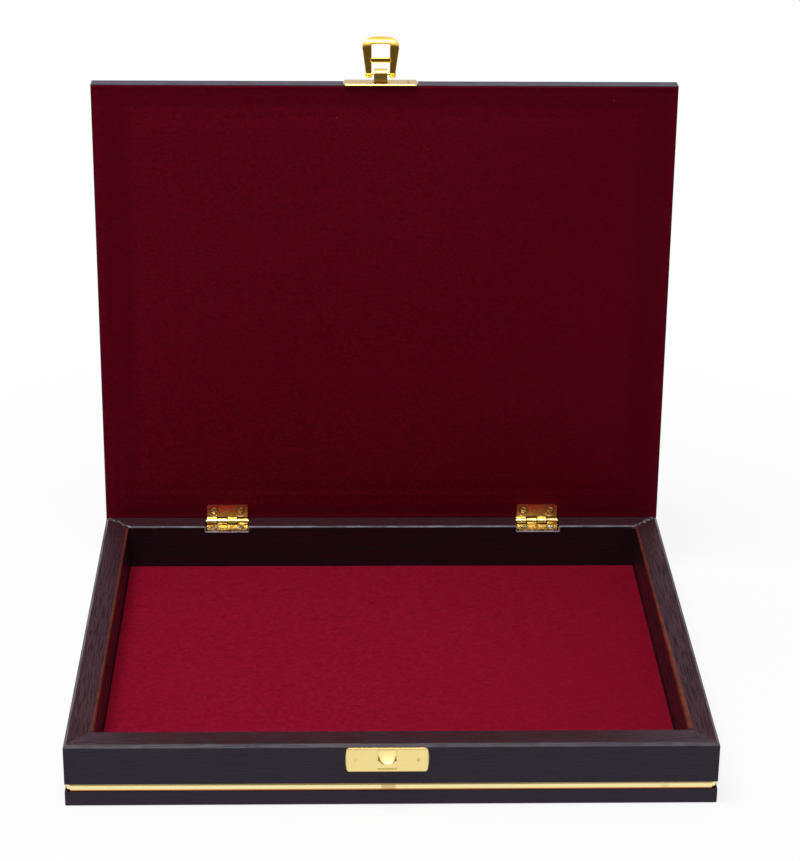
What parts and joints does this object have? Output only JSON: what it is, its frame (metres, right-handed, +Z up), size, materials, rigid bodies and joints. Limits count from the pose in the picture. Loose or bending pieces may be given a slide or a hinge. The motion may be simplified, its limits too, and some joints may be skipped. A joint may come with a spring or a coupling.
{
  "type": "presentation box",
  "caption": "Shallow wooden presentation box with a hinged lid, velvet lining, brass hinges, a swing latch and a gilt inlay strip round the base.",
  "frame": {"origin": "middle of the base's underside, where the box stands", "axes": "+X to the right along the front, +Y from the latch at the front to the hinges at the back, +Z up"},
  "size_m": [0.26, 0.2292, 0.2566],
  "materials": {
    "dark_wood": "dark stain, satin lacquer",
    "plain_board": "raw hardboard",
    "velvet": "short-pile velvet",
    "gilt": "bright gilt",
    "brass": "polished",
    "plated_steel": "bright plating"
  },
  "bodies": {
    "base": {"base_back_rail": "dark_wood", "base_front_rail": "dark_wood", "base_left_rail": "dark_wood", "base_right_rail": "dark_wood", "base_velvet": "velvet", "bottom_panel": "plain_board", "inlay_strip_back": "gilt", "inlay_strip_front": "gilt", "inlay_strip_left": "gilt", "inlay_strip_right": "gilt", "left_hinge_base_leaf": "brass", "left_hinge_base_screws": "plated_steel", "left_hinge_pin": "brass", "lining_board": "plain_board", "right_hinge_base_leaf": "brass", "right_hinge_base_screws": "plated_steel", "right_hinge_pin": "brass", "strike_nails": "brass", "strike_plate": "brass"},
    "lid": {"latch_nails": "brass", "latch_pin": "brass", "latch_plate": "brass", "left_hinge_lid_leaf": "brass", "left_hinge_lid_screws": "brass", "lid_back_rail": "dark_wood", "lid_filler_board": "plain_board", "lid_front_rail": "dark_wood", "lid_left_rail": "dark_wood", "lid_right_rail": "dark_wood", "lid_top_panel": "dark_wood", "lid_velvet": "velvet", "right_hinge_lid_leaf": "brass", "right_hinge_lid_screws": "brass"},
    "hasp": {"latch_hasp": "brass"}
  },
  "joints": [
    {"name": "lid_hinge", "type": "hinge", "parent": "base", "child": "lid", "pos_m": [0, 0.1034, 0.0262], "axis": [1, 0, 0], "range_deg": [0, 91.3]},
    {"name": "latch_pivot", "type": "hinge", "parent": "lid", "child": "hasp", "pos_m": [-0.0021, 0.11504, 0.23929], "axis": [1, 0, 0], "range_deg": [-85, 90]}
  ]
}
